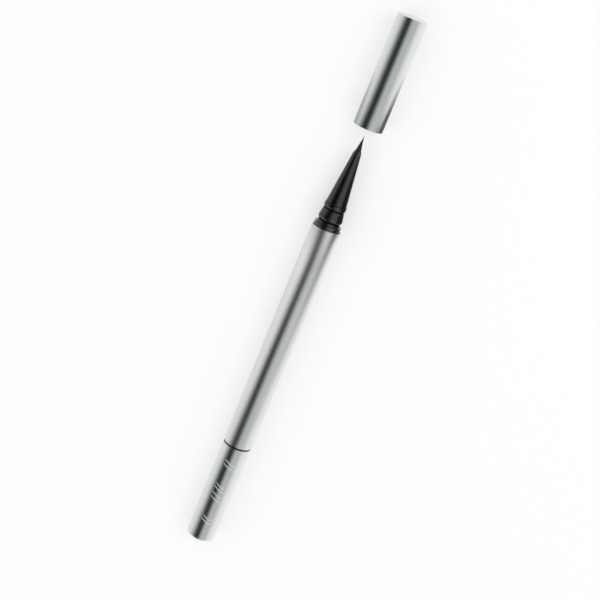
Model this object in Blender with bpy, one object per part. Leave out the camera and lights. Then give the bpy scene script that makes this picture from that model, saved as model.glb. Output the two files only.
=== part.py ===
"""Double-ended eyebrow pen: a liquid pen with a fine fibre nib at one end and a
twist-up pencil under a cap at the other. Metres, +Z up.

The pen lies along X with the nib toward +X. The origin is the centre of the pencil
cap's flat end. The nib cap lies pulled off, in line with the pen, beyond the nib.

Outlines are lists of (along, radius) points that are turned about the pen's axis.
At the nib end, along is measured outward from the barrel's front rim, and at the
pencil end outward from its back rim. In a cap it is measured inward from the mouth.
"""

import math

import bmesh
import bpy
from mathutils import Matrix

# The outside
PEN_DIAMETER = 0.0090
BARREL_LENGTH = 0.0745
NIB_CAP_LENGTH = 0.0336
PENCIL_CAP_LENGTH = 0.03375
TUBE_WALL = 0.0003
RIM_BREAK = 0.00006
CAP_END_WALL = 0.0006
NIB_CAP_END_RADIUS = 0.00035
PENCIL_CAP_END_RADIUS = 0.0010

# Clearances
FIT_GAP = 0.00010
RUN_GAP = 0.00010
SEAT_GAP = 0.00005
PEG_GAP = 0.00015

# The nose, from the barrel's front rim outward
NOSE_SPIGOT_LENGTH = 0.0090
NOSE_SPIGOT_WALL = 0.0009
BASE_RING_LENGTH = 0.0013
BASE_RING_CHAMFER = 0.00015
NECK_RADIUS = 0.00350
NECK_LENGTH = 0.0012
GRIP_RING_BACK_RADIUS = 0.00374
GRIP_RING_FRONT_RADIUS = 0.00330
GRIP_RING_LENGTH = 0.0032
GRIP_RING_CHAMFER = 0.00020
BEAD_GROOVE_RADIUS = 0.00316
BEAD_GROOVE_LENGTH = 0.0004
BEAD_RADIUS = 0.00340
BEAD_LENGTH = 0.0013
BEAD_CHAMFER = 0.00030
CONE_BACK_RADIUS = 0.00327
CONE_FRONT_RADIUS = 0.00135
CONE_LENGTH = 0.0159
SHOULDER_LENGTH = 0.0013
MOUTH_RADIUS = 0.00100
SHOULDER_STEPS = 4
NOSE_BACK_BORE_LENGTH = 0.0110

# The nib and what feeds it
NIB_RADIUS = 0.00084
NIB_POINT_LENGTH = 0.0050
NIB_POINT_FULLNESS = 1.15
NIB_POINT_FINENESS = 1.25
NIB_SHANK_LENGTH = 0.0116
NIB_POINT_STEPS = 6
NIB_BORE_LENGTH = 0.0057
HOLDER_RADIUS = 0.00130
HOLDER_FLANGE_RADIUS = 0.00200
HOLDER_FLANGE_LENGTH = 0.0008
FEED_RADIUS = 0.00072
FEED_DEPTH_IN_RESERVOIR = 0.0080
CHAMBER_WALL = 0.0005
CHAMBER_WEB = 0.0010
WRAP_WALL = 0.00015
PLUG_DEPTH = 0.0040
PLUG_FLANGE_LENGTH = 0.0008
MIDDLE_SPACE = 0.0010

# The inside of the nib cap, from its mouth inward
NIB_LINER_SPACE = 0.0002
NIB_LINER_LENGTH = 0.0145
SEAL_FLANGE_LENGTH = 0.0009
SEAL_WALL = 0.0007
SEAL_END_WALL = 0.0008
NIB_CAP_SEAM = 0.0002
NIB_CAP_REST_GAP = 0.0025

# The pencil end, from the barrel's back rim outward
FLANGE_THICKNESS = 0.00045
FLANGE_INSET = 0.00012
BUSH_SPIGOT_LENGTH = 0.0060
BUSH_NECK_LENGTH = 0.0040
BUSH_NECK_RADIUS = 0.0035
BUSH_NECK_CHAMFER = 0.00020
SPINDLE_RADIUS = 0.00230
PENCIL_SHOULDER_LENGTH = 0.0012
PENCIL_CONE_BACK_RADIUS = 0.00330
PENCIL_CONE_LENGTH = 0.0078
PENCIL_MOUTH_RADIUS = 0.00155
PENCIL_MOUTH_WEB = 0.0012
PENCIL_MOUTH_CHAMFER = 0.00020
PENCIL_LINER_START = 0.0003
PENCIL_LINER_LENGTH = 0.0100
SOCKET_DEPTH = 0.0030
NIPPLE_WALL = 0.0004

# The twist that feeds the lead
LEAD_RADIUS = 0.00090
LEAD_TIP_RADIUS = 0.00045
LEAD_TIP_LENGTH = 0.0010
LEAD_REST_INSET = 0.0003
LEAD_SOCKET_DEPTH = 0.0030
LEAD_TRAVEL = 0.0150
GROOVE_LEAD = 0.0060
GROOVE_DEPTH = 0.0007
GROOVE_STARTS = 2
SPIRAL_END_MARGIN = 0.0015
CARRIER_RADIUS = 0.00135
PEG_RADIUS = 0.00045
CARRIER_TAIL = 0.0010
GUIDE_FLANGE_LENGTH = 0.0008
GUIDE_FLANGE_OVERLAP = 0.0006
FRICTION_RING_THICKNESS = 0.00050
FRICTION_RING_GRIP = 0.00003
FRICTION_RING_DEPTH = 0.0035

# Facets round the pen, and the overrun of every cut
OUTER_SIDES = 32
INNER_SIDES = 24
NIB_SIDES = 16
ARC_STEPS = 4
OVERRUN = 0.0003
WELD_DISTANCE = 1e-7
SMOOTH_ANGLE = math.radians(40)

# Sizes that follow from these
pen_radius = PEN_DIAMETER / 2
bore_radius = pen_radius - TUBE_WALL
fitted_radius = bore_radius - FIT_GAP
pencil_seam = 2 * SEAT_GAP + FLANGE_THICKNESS
barrel_back = PENCIL_CAP_LENGTH + pencil_seam
barrel_front = barrel_back + BARREL_LENGTH

base_ring_radius = bore_radius - RUN_GAP
grip_start = BASE_RING_LENGTH + NECK_LENGTH
grip_end = grip_start + GRIP_RING_LENGTH
bead_start = grip_end + BEAD_GROOVE_LENGTH
cone_start = bead_start + BEAD_LENGTH
cone_end = cone_start + CONE_LENGTH
nose_mouth = cone_end + SHOULDER_LENGTH
nib_tip = nose_mouth + NIB_POINT_LENGTH
nib_bore_radius = NIB_RADIUS + FIT_GAP
nib_bore_back = nose_mouth - NIB_BORE_LENGTH
feed_bore_radius = FEED_RADIUS + FIT_GAP
nose_back_bore_radius = HOLDER_FLANGE_RADIUS + FIT_GAP

spindle_bore = CARRIER_RADIUS + RUN_GAP
bush_bore = SPINDLE_RADIUS + RUN_GAP
bush_end = pencil_seam - SEAT_GAP + BUSH_NECK_LENGTH
pencil_back = bush_end + SEAT_GAP
pencil_cone_start = pencil_back + PENCIL_SHOULDER_LENGTH
pencil_mouth = pencil_cone_start + PENCIL_CONE_LENGTH
spindle_end = -BUSH_SPIGOT_LENGTH

lead_tip = pencil_mouth - LEAD_REST_INSET
carrier_front = pencil_mouth - PENCIL_MOUTH_WEB - SEAT_GAP - LEAD_TRAVEL
lead_back = carrier_front - LEAD_SOCKET_DEPTH + SEAT_GAP
guide_radius = SPINDLE_RADIUS
spiral_bore = guide_radius + RUN_GAP
groove_radius = spiral_bore + GROOVE_DEPTH
groove_half_width = PEG_RADIUS + PEG_GAP
peg_reach = groove_radius - PEG_GAP
spiral_front = spindle_end - SEAT_GAP
peg_front = spiral_front - SPIRAL_END_MARGIN - groove_half_width
peg_back = peg_front - LEAD_TRAVEL
spiral_back = peg_back - groove_half_width - SPIRAL_END_MARGIN
guide_flange_front = spiral_back - SEAT_GAP
guide_flange_radius = spiral_bore + GUIDE_FLANGE_OVERLAP
guide_back = guide_flange_front - GUIDE_FLANGE_LENGTH
carrier_back = peg_back - PEG_RADIUS - CARRIER_TAIL

plug_back = -BARREL_LENGTH - guide_back + MIDDLE_SPACE
plug_flange_front = plug_back + PLUG_FLANGE_LENGTH
chamber_front = -NOSE_SPIGOT_LENGTH - SEAT_GAP
chamber_back = plug_flange_front + SEAT_GAP
chamber_bore_radius = fitted_radius - CHAMBER_WALL
reservoir_front = chamber_front - CHAMBER_WEB - SEAT_GAP
reservoir_back = chamber_back + PLUG_DEPTH + SEAT_GAP
wrap_radius = chamber_bore_radius - FIT_GAP
reservoir_radius = wrap_radius - WRAP_WALL - FIT_GAP
feed_front = nose_mouth - NIB_SHANK_LENGTH - SEAT_GAP
feed_back = reservoir_front - FEED_DEPTH_IN_RESERVOIR

nib_cap_rest = nib_tip + NIB_CAP_REST_GAP
nib_liner_start = BASE_RING_LENGTH + NIB_LINER_SPACE
nib_liner_end = nib_liner_start + NIB_LINER_LENGTH
nib_liner_bore = GRIP_RING_BACK_RADIUS + RUN_GAP
pencil_liner_bore = BUSH_NECK_RADIUS + RUN_GAP


def clear_scene():
    for item in list(bpy.data.objects):
        bpy.data.objects.remove(item, do_unlink=True)


def finish(name, colour, roughness, metallic):
    material = bpy.data.materials.new(name)
    material.use_nodes = True
    shader = material.node_tree.nodes["Principled BSDF"]
    shader.inputs["Base Color"].default_value = (*colour, 1.0)
    shader.inputs["Roughness"].default_value = roughness
    shader.inputs["Metallic"].default_value = metallic
    return material


def satin_silver(name):
    return finish(name, (0.78, 0.79, 0.79), 0.28, 1.0)


def black_plastic(name):
    return finish(name, (0.012, 0.012, 0.013), 0.32, 0.0)


def white_plastic(name):
    return finish(name, (0.80, 0.80, 0.78), 0.45, 0.0)


def dark_fibre(name):
    return finish(name, (0.015, 0.014, 0.014), 0.70, 0.0)


def clear_film(name):
    return finish(name, (0.72, 0.74, 0.74), 0.20, 0.0)


def brown_lead(name):
    return finish(name, (0.105, 0.062, 0.042), 0.60, 0.0)


def soft_rubber(name):
    return finish(name, (0.20, 0.20, 0.20), 0.65, 0.0)


def carrier(name, along, turned_back=False):
    """An empty on the pen's axis. Turned back, its own +X points out of the pencil end."""
    empty = bpy.data.objects.new(name, None)
    empty.location = (along, 0, 0)
    empty.rotation_euler = (0, 0, math.pi if turned_back else 0)
    empty.empty_display_size = pen_radius
    bpy.context.collection.objects.link(empty)
    return empty


def add_object(name, mesh, material, parent):
    mesh.materials.append(material)
    item = bpy.data.objects.new(name, mesh)
    item.parent = parent
    bpy.context.collection.objects.link(item)
    return item


def shade_round(mesh):
    mesh.shade_smooth()
    mesh.set_sharp_from_angle(angle=SMOOTH_ANGLE)


def turned_mesh(name, outline, sides):
    """The outline turned about X. It is a loop, unless it starts and ends on the axis."""
    shape = bmesh.new()
    start = math.pi / sides
    points = []
    for along, radius in outline:
        place = (along, radius * math.cos(start), radius * math.sin(start))
        points.append(shape.verts.new(place))
    for first, second in zip(points, points[1:]):
        shape.edges.new((first, second))
    if outline[0][1] > 0:
        shape.edges.new((points[-1], points[0]))
    bmesh.ops.spin(
        shape,
        geom=shape.verts[:] + shape.edges[:],
        cent=(0, 0, 0),
        axis=(1, 0, 0),
        angle=2 * math.pi,
        steps=sides,
        use_merge=True,
    )
    bmesh.ops.remove_doubles(shape, verts=shape.verts[:], dist=WELD_DISTANCE)
    bmesh.ops.recalc_face_normals(shape, faces=shape.faces[:])
    mesh = bpy.data.meshes.new(name)
    shape.to_mesh(mesh)
    shape.free()
    shade_round(mesh)
    return mesh


def turned(name, outline, sides, material, parent):
    return add_object(name, turned_mesh(name, outline, sides), material(name), parent)


def tube_outline(back, front, outer, inner, chamfer=0):
    """A plain tube from back to front. Its outer rims are broken by the chamfer."""
    outline = [(back + chamfer, outer), (front - chamfer, outer)]
    if chamfer:
        outline += [(front, outer - chamfer), (front, inner), (back, inner)]
        outline += [(back, outer - chamfer)]
    else:
        outline += [(front, inner), (back, inner)]
    return outline


def round_corner(centre_along, centre_radius, size):
    """Points from the outer wall round to the end face."""
    points = []
    for step in range(ARC_STEPS + 1):
        angle = math.pi / 2 * (1 - step / ARC_STEPS)
        along = centre_along + size * math.cos(angle)
        radius = centre_radius + size * math.sin(angle)
        points.append((along, radius))
    return points


def hidden_cutter(name, mesh, parent):
    item = bpy.data.objects.new(name, mesh)
    item.parent = parent
    item.display_type = "WIRE"
    item.hide_render = True
    bpy.context.collection.objects.link(item)
    return item


def boolean(item, tool, operation):
    step = item.modifiers.new(operation.title(), "BOOLEAN")
    step.operation = operation
    step.solver = "EXACT"
    step.object = tool


def mesh_from(name, shape):
    bmesh.ops.recalc_face_normals(shape, faces=shape.faces[:])
    mesh = bpy.data.meshes.new(name)
    shape.to_mesh(mesh)
    shape.free()
    return mesh


# The barrel

def barrel_tube(parent):
    outline = tube_outline(-BARREL_LENGTH, 0, pen_radius, bore_radius, RIM_BREAK)
    turned("barrel_tube", outline, OUTER_SIDES, satin_silver, parent)


# The nib end

def shoulder_points():
    """The rounded end of the cone. It leaves the cone's line more and more."""
    rounding = cone_radius_at(nose_mouth) - MOUTH_RADIUS
    points = []
    for step in range(1, SHOULDER_STEPS + 1):
        share = step / SHOULDER_STEPS
        along = cone_end + SHOULDER_LENGTH * share
        points.append((along, cone_radius_at(along) - rounding * share ** 2))
    return points


def nose_cone(parent):
    outline = [
        (-NOSE_SPIGOT_LENGTH, base_ring_radius),
        (BASE_RING_LENGTH - BASE_RING_CHAMFER, base_ring_radius),
        (BASE_RING_LENGTH, base_ring_radius - BASE_RING_CHAMFER),
        (BASE_RING_LENGTH, NECK_RADIUS),
        (grip_start, NECK_RADIUS),
        (grip_start + GRIP_RING_CHAMFER, GRIP_RING_BACK_RADIUS),
        (grip_end - GRIP_RING_CHAMFER, GRIP_RING_FRONT_RADIUS),
        (grip_end, BEAD_GROOVE_RADIUS),
        (bead_start, BEAD_GROOVE_RADIUS),
        (bead_start + BEAD_CHAMFER, BEAD_RADIUS),
        (cone_start - BEAD_CHAMFER, BEAD_RADIUS),
        (cone_start, CONE_BACK_RADIUS),
        (cone_end, CONE_FRONT_RADIUS),
    ]
    outline += shoulder_points()
    outline += [
        (nose_mouth, nib_bore_radius),
        (nib_bore_back, nib_bore_radius),
        (nib_bore_back, HOLDER_RADIUS + FIT_GAP),
        (NOSE_BACK_BORE_LENGTH, HOLDER_RADIUS + FIT_GAP),
        (NOSE_BACK_BORE_LENGTH, nose_back_bore_radius),
        (0, nose_back_bore_radius),
        (0, base_ring_radius - NOSE_SPIGOT_WALL),
        (-NOSE_SPIGOT_LENGTH, base_ring_radius - NOSE_SPIGOT_WALL),
    ]
    turned("nose_cone", outline, OUTER_SIDES, black_plastic, parent)


def nib(parent):
    """A round shank and a long point, full at first and then fine."""
    outline = [(nose_mouth - NIB_SHANK_LENGTH, 0)]
    outline += [(nose_mouth - NIB_SHANK_LENGTH, NIB_RADIUS)]
    for step in range(NIB_POINT_STEPS + 1):
        share = step / NIB_POINT_STEPS
        radius = NIB_RADIUS * (1 - share ** NIB_POINT_FULLNESS) ** NIB_POINT_FINENESS
        outline.append((nose_mouth + NIB_POINT_LENGTH * share, radius))
    turned("nib", outline, NIB_SIDES, dark_fibre, parent)


def nib_holder(parent):
    back = NOSE_BACK_BORE_LENGTH - SEAT_GAP - HOLDER_FLANGE_LENGTH
    outline = [
        (back, HOLDER_FLANGE_RADIUS),
        (back + HOLDER_FLANGE_LENGTH, HOLDER_FLANGE_RADIUS),
        (back + HOLDER_FLANGE_LENGTH, HOLDER_RADIUS),
        (nib_bore_back - SEAT_GAP, HOLDER_RADIUS),
        (nib_bore_back - SEAT_GAP, nib_bore_radius),
        (back, nib_bore_radius),
    ]
    turned("nib_holder", outline, INNER_SIDES, white_plastic, parent)


def ink_feed(parent):
    outline = [(feed_back, 0), (feed_back, FEED_RADIUS)]
    outline += [(feed_front, FEED_RADIUS), (feed_front, 0)]
    turned("ink_feed", outline, NIB_SIDES, dark_fibre, parent)


def ink_chamber(parent):
    web_back = chamber_front - CHAMBER_WEB
    outline = [
        (chamber_back, fitted_radius),
        (chamber_front, fitted_radius),
        (chamber_front, feed_bore_radius),
        (web_back, feed_bore_radius),
        (web_back, chamber_bore_radius),
        (chamber_back, chamber_bore_radius),
    ]
    turned("ink_chamber", outline, INNER_SIDES, white_plastic, parent)


def ink_reservoir(parent):
    hole_back = feed_back - SEAT_GAP
    outline = [
        (reservoir_back, 0),
        (reservoir_back, reservoir_radius),
        (reservoir_front, reservoir_radius),
        (reservoir_front, feed_bore_radius),
        (hole_back, feed_bore_radius),
        (hole_back, 0),
    ]
    turned("ink_reservoir", outline, INNER_SIDES, dark_fibre, parent)


def reservoir_wrap(parent):
    inner = reservoir_radius + FIT_GAP
    outline = tube_outline(reservoir_back, reservoir_front, wrap_radius, inner)
    turned("reservoir_wrap", outline, INNER_SIDES, clear_film, parent)


def chamber_plug(parent):
    plug_radius = chamber_bore_radius - FIT_GAP
    outline = [
        (plug_back, 0),
        (plug_back, fitted_radius),
        (plug_flange_front, fitted_radius),
        (plug_flange_front, plug_radius),
        (chamber_back + PLUG_DEPTH, plug_radius),
        (chamber_back + PLUG_DEPTH, 0),
    ]
    turned("chamber_plug", outline, INNER_SIDES, white_plastic, parent)


# The caps

def cap_shell(name, length, end_radius, parent):
    """A drawn metal cap, from the middle of its floor round the rim to its end."""
    floor = length - CAP_END_WALL
    corner = end_radius / 2
    outline = [
        (floor, 0),
        (floor, bore_radius - corner),
        (floor - corner, bore_radius),
        (0, bore_radius),
        (0, pen_radius - RIM_BREAK),
        (RIM_BREAK, pen_radius),
    ]
    outline += round_corner(length - end_radius, pen_radius - end_radius, end_radius)
    outline.append((length, 0))
    turned(name, outline, OUTER_SIDES, satin_silver, parent)


def nib_cap_liner(parent):
    outline = tube_outline(nib_liner_start, nib_liner_end, fitted_radius, nib_liner_bore)
    turned("nib_cap_liner", outline, OUTER_SIDES, white_plastic, parent)


def cone_radius_at(along):
    share = (along - cone_start) / CONE_LENGTH
    return CONE_BACK_RADIUS + (CONE_FRONT_RADIUS - CONE_BACK_RADIUS) * share


def nib_cap_seal(parent):
    """An inner cup whose lip closes on the cone when the cap is on."""
    start = nib_liner_end + SEAT_GAP
    end = NIB_CAP_LENGTH - CAP_END_WALL - SEAT_GAP
    lip = cone_radius_at(start + NIB_CAP_SEAM) + RUN_GAP
    narrow = cone_end - NIB_CAP_SEAM
    narrow_radius = CONE_FRONT_RADIUS + RUN_GAP
    outline = [
        (end - SEAL_END_WALL, 0),
        (end - SEAL_END_WALL, narrow_radius),
        (narrow, narrow_radius),
        (start, lip),
        (start, fitted_radius),
        (start + SEAL_FLANGE_LENGTH, fitted_radius),
        (start + SEAL_FLANGE_LENGTH, lip + SEAL_WALL),
        (narrow, narrow_radius + SEAL_WALL),
        (end, narrow_radius + SEAL_WALL),
        (end, 0),
    ]
    turned("nib_cap_seal", outline, INNER_SIDES, white_plastic, parent)


def pencil_cap_liner(parent):
    end = PENCIL_LINER_START + PENCIL_LINER_LENGTH
    outline = tube_outline(PENCIL_LINER_START, end, fitted_radius, pencil_liner_bore)
    turned("pencil_cap_liner", outline, OUTER_SIDES, white_plastic, parent)


# The pencil end

def pencil_bush(parent):
    flange_radius = pen_radius - FLANGE_INSET
    flange_front = SEAT_GAP + FLANGE_THICKNESS
    outline = [
        (-BUSH_SPIGOT_LENGTH, fitted_radius),
        (SEAT_GAP, fitted_radius),
        (SEAT_GAP, flange_radius),
        (flange_front, flange_radius),
        (flange_front, BUSH_NECK_RADIUS),
        (bush_end - BUSH_NECK_CHAMFER, BUSH_NECK_RADIUS),
        (bush_end, BUSH_NECK_RADIUS - BUSH_NECK_CHAMFER),
        (bush_end, bush_bore),
        (-BUSH_SPIGOT_LENGTH, bush_bore),
    ]
    turned("pencil_bush", outline, OUTER_SIDES, black_plastic, parent)


def pencil_nose(parent):
    ring_back = pencil_back - FRICTION_RING_DEPTH - FRICTION_RING_THICKNESS
    ring_front = pencil_back - FRICTION_RING_DEPTH
    ring_floor = bush_bore - FRICTION_RING_GRIP - FRICTION_RING_THICKNESS - SEAT_GAP
    socket_radius = guide_nipple_radius() + FIT_GAP
    lead_bore = LEAD_RADIUS + RUN_GAP
    outline = [
        (spindle_end, SPINDLE_RADIUS),
        (ring_back - SEAT_GAP, SPINDLE_RADIUS),
        (ring_back - SEAT_GAP, ring_floor),
        (ring_front + SEAT_GAP, ring_floor),
        (ring_front + SEAT_GAP, SPINDLE_RADIUS),
        (pencil_back, SPINDLE_RADIUS),
        (pencil_back, BUSH_NECK_RADIUS),
        (pencil_cone_start, BUSH_NECK_RADIUS),
        (pencil_cone_start, PENCIL_CONE_BACK_RADIUS),
        (pencil_mouth - PENCIL_MOUTH_CHAMFER, PENCIL_MOUTH_RADIUS),
        (pencil_mouth, PENCIL_MOUTH_RADIUS - PENCIL_MOUTH_CHAMFER),
        (pencil_mouth, lead_bore),
        (pencil_mouth - PENCIL_MOUTH_WEB, lead_bore),
        (pencil_mouth - PENCIL_MOUTH_WEB, spindle_bore),
        (spindle_end + SOCKET_DEPTH, spindle_bore),
        (spindle_end + SOCKET_DEPTH, socket_radius),
        (spindle_end, socket_radius),
    ]
    turned("pencil_nose", outline, INNER_SIDES, black_plastic, parent)


def guide_nipple_radius():
    return spindle_bore + NIPPLE_WALL


def slot_cutter(parent):
    """One flat bar through both walls of the guide tube, where the pegs run."""
    front = peg_front + groove_half_width
    back = peg_back - groove_half_width
    reach = guide_radius + OVERRUN
    shape = bmesh.new()
    scale = Matrix.Diagonal((front - back, 2 * reach, 2 * groove_half_width, 1))
    place = Matrix.Translation(((front + back) / 2, 0, 0))
    bmesh.ops.create_cube(shape, size=1, matrix=place @ scale)
    return hidden_cutter("slot_cutter", mesh_from("slot_cutter", shape), parent)


def guide_tube(parent):
    nipple = guide_nipple_radius()
    outline = [
        (guide_back, guide_flange_radius),
        (guide_flange_front, guide_flange_radius),
        (guide_flange_front, guide_radius),
        (spindle_end - SEAT_GAP, guide_radius),
        (spindle_end - SEAT_GAP, nipple),
        (spindle_end + SOCKET_DEPTH - SEAT_GAP, nipple),
        (spindle_end + SOCKET_DEPTH - SEAT_GAP, spindle_bore),
        (guide_back, spindle_bore),
    ]
    tube = turned("guide_tube", outline, INNER_SIDES, white_plastic, parent)
    boolean(tube, slot_cutter(parent), "DIFFERENCE")


def friction_ring(parent):
    """A rubber ring in the spindle's groove, which rubs on the bush."""
    outer = bush_bore - FRICTION_RING_GRIP
    half = FRICTION_RING_THICKNESS / 2
    middle = pencil_back - FRICTION_RING_DEPTH - half
    outline = []
    for step in range(2 * ARC_STEPS):
        angle = math.pi / ARC_STEPS * step
        radius = outer - half + half * math.sin(angle)
        outline.append((middle + half * math.cos(angle), radius))
    turned("friction_ring", outline, INNER_SIDES, soft_rubber, parent)


def groove_bar(shape, start_angle):
    """A bar along one groove: four corners at each step of a helix, capped at its ends."""
    turns = LEAD_TRAVEL / GROOVE_LEAD
    steps = round(turns * INNER_SIDES)
    half = groove_half_width
    inner = spiral_bore - OVERRUN
    rings = []
    for step in range(steps + 1):
        share = step / steps
        angle = start_angle + 2 * math.pi * turns * share
        middle = peg_back + LEAD_TRAVEL * share
        ring = []
        for along, radius in ((-half, inner), (half, inner), (half, groove_radius),
                              (-half, groove_radius)):
            place = (middle + along, radius * math.cos(angle), radius * math.sin(angle))
            ring.append(shape.verts.new(place))
        rings.append(ring)
    for first, second in zip(rings, rings[1:]):
        for corner in range(4):
            after = (corner + 1) % 4
            sides = (first[corner], first[after], second[after], second[corner])
            shape.faces.new(sides)
    shape.faces.new(rings[0])
    shape.faces.new(rings[-1])


def groove_end(shape, start_angle, along):
    """A round pocket at a groove's end, so that the peg has room there."""
    reach = groove_radius - spiral_bore + OVERRUN
    turn = Matrix.Rotation(start_angle, 4, "X")
    middle = Matrix.Translation((along, spiral_bore - OVERRUN + reach / 2, 0))
    stand = Matrix.Rotation(math.pi / 2, 4, "X")
    bmesh.ops.create_cone(
        shape,
        cap_ends=True,
        segments=NIB_SIDES,
        radius1=groove_half_width,
        radius2=groove_half_width,
        depth=reach,
        matrix=turn @ middle @ stand,
    )


def groove_cutters(parent):
    """The two grooves, and a second tool for the pockets at their ends."""
    bars = bmesh.new()
    pockets = bmesh.new()
    turns = LEAD_TRAVEL / GROOVE_LEAD
    for start in range(GROOVE_STARTS):
        angle = 2 * math.pi * start / GROOVE_STARTS
        groove_bar(bars, angle)
        groove_end(pockets, angle, peg_back)
        groove_end(pockets, angle + 2 * math.pi * turns, peg_front)
    return (
        hidden_cutter("groove_cutter", mesh_from("groove_cutter", bars), parent),
        hidden_cutter("pocket_cutter", mesh_from("pocket_cutter", pockets), parent),
    )


def spiral_sleeve(parent):
    outline = tube_outline(spiral_back, spiral_front, fitted_radius, spiral_bore)
    sleeve = turned("spiral_sleeve", outline, INNER_SIDES, white_plastic, parent)
    for cutter in groove_cutters(parent):
        boolean(sleeve, cutter, "DIFFERENCE")


def peg_tool(parent):
    """One pin across the carrier, whose two ends are the pegs."""
    shape = bmesh.new()
    place = Matrix.Translation((peg_back, 0, 0)) @ Matrix.Rotation(math.pi / 2, 4, "X")
    bmesh.ops.create_cone(
        shape,
        cap_ends=True,
        segments=NIB_SIDES,
        radius1=PEG_RADIUS,
        radius2=PEG_RADIUS,
        depth=2 * peg_reach,
        matrix=place,
    )
    return hidden_cutter("peg_tool", mesh_from("peg_tool", shape), parent)


def lead_carrier(parent):
    socket_back = carrier_front - LEAD_SOCKET_DEPTH
    socket_radius = LEAD_RADIUS + FIT_GAP
    outline = [
        (carrier_back, 0),
        (carrier_back, CARRIER_RADIUS),
        (carrier_front, CARRIER_RADIUS),
        (carrier_front, socket_radius),
        (socket_back, socket_radius),
        (socket_back, 0),
    ]
    stem = turned("lead_carrier", outline, INNER_SIDES, white_plastic, parent)
    boolean(stem, peg_tool(parent), "UNION")


def pencil_lead(parent):
    outline = [
        (lead_back, 0),
        (lead_back, LEAD_RADIUS),
        (lead_tip - LEAD_TIP_LENGTH, LEAD_RADIUS),
        (lead_tip, LEAD_TIP_RADIUS),
        (lead_tip, 0),
    ]
    turned("pencil_lead", outline, NIB_SIDES, brown_lead, parent)


def build():
    clear_scene()
    nib_end = carrier("nib_end", barrel_front)
    pencil_end = carrier("pencil_end", barrel_back, turned_back=True)
    twist_axis = carrier("twist_axis", barrel_back, turned_back=True)
    nib_cap = carrier("nib_cap_axis", barrel_front + nib_cap_rest)
    pencil_cap = carrier("pencil_cap_axis", PENCIL_CAP_LENGTH, turned_back=True)

    barrel_tube(nib_end)
    nose_cone(nib_end)
    nib(nib_end)
    nib_holder(nib_end)
    ink_feed(nib_end)
    ink_chamber(nib_end)
    ink_reservoir(nib_end)
    reservoir_wrap(nib_end)
    chamber_plug(nib_end)

    cap_shell("nib_cap_shell", NIB_CAP_LENGTH, NIB_CAP_END_RADIUS, nib_cap)
    nib_cap_liner(nib_cap)
    nib_cap_seal(nib_cap)

    pencil_bush(pencil_end)
    spiral_sleeve(pencil_end)
    pencil_nose(twist_axis)
    guide_tube(twist_axis)
    friction_ring(twist_axis)
    lead_carrier(twist_axis)
    pencil_lead(twist_axis)

    cap_shell("pencil_cap_shell", PENCIL_CAP_LENGTH, PENCIL_CAP_END_RADIUS, pencil_cap)
    pencil_cap_liner(pencil_cap)


build()
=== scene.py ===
"""The looks of the double-ended eyebrow pen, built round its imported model.

The pen lies along X with the nib toward +X, and its axis is y = z = 0. Fine turned
pieces stand for the nodes that show, and the inner nodes keep their shapes.
Sizes of the pieces are in millimetres, and places in the scene are in metres.
"""

import math
import random

import bmesh
import bpy
from mathutils import Matrix, Vector


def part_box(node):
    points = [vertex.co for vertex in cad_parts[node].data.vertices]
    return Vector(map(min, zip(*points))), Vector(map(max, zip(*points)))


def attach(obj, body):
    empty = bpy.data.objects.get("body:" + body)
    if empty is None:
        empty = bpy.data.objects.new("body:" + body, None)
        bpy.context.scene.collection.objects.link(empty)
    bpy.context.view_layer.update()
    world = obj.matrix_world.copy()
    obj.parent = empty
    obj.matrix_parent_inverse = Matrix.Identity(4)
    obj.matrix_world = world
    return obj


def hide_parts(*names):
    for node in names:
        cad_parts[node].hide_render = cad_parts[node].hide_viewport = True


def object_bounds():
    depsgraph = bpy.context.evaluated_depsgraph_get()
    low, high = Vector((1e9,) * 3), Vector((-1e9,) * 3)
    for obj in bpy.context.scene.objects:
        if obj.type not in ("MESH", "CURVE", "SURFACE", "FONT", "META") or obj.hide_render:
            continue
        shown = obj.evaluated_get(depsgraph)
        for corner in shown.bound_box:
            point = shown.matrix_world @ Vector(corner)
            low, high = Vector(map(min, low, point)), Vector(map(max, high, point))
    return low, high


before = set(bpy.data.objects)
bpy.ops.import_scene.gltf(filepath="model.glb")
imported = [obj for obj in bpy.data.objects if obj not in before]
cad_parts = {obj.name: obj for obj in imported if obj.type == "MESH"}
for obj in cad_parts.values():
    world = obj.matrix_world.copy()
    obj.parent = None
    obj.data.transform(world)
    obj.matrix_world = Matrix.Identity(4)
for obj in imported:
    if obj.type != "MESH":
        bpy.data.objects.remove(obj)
cad_low, cad_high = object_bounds()

MM = 0.001
MICRON = 0.000001

# The outside, in millimetres
PEN_RADIUS = 4.5
BORE_RADIUS = 4.2
FITTED_RADIUS = 4.1
RIM_ROUND = 0.06
INNER_ROUND = 0.04
CAP_END_WALL = 0.6
NIB_CAP_END_ROUND = 0.35
PENCIL_CAP_END_ROUND = 1.0

# The nose, outward from the barrel's front rim
NOSE_SPIGOT = 9.0
NOSE_SPIGOT_WALL = 0.9
BASE_RING_LENGTH = 1.3
BASE_RING_ROUND = 0.15
NECK_RADIUS = 3.50
NECK_GROOVE = (2.00, 2.70)
NECK_GROOVE_RADIUS = 3.18
GRIP_EDGE_RADIUS = 3.75
GRIP_CREST = 3.25
GRIP_CREST_RADIUS = 3.77
GRIP_FRONT_RADIUS = 3.28
GRIP_ROUND = 1.4
GRIP_GROOVE = (5.76, 6.36)
GRIP_GROOVE_RADIUS = 3.02
BEAD_EDGE_RADIUS = 3.40
BEAD_CREST = 6.90
BEAD_RADIUS = 3.42
BEAD_ROUND = 1.6
CONE_GROOVE = (7.58, 7.74)
CONE_GROOVE_RADIUS = 3.10
GROOVE_EDGE_ROUND = 0.03
CONE_BACK = 7.4
CONE_BACK_RADIUS = 3.27
CONE_FRONT_RADIUS = 1.35
CONE_END = 23.3
NOSE_MOUTH = 24.6
NOSE_MOUTH_RADIUS = 1.00
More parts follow.
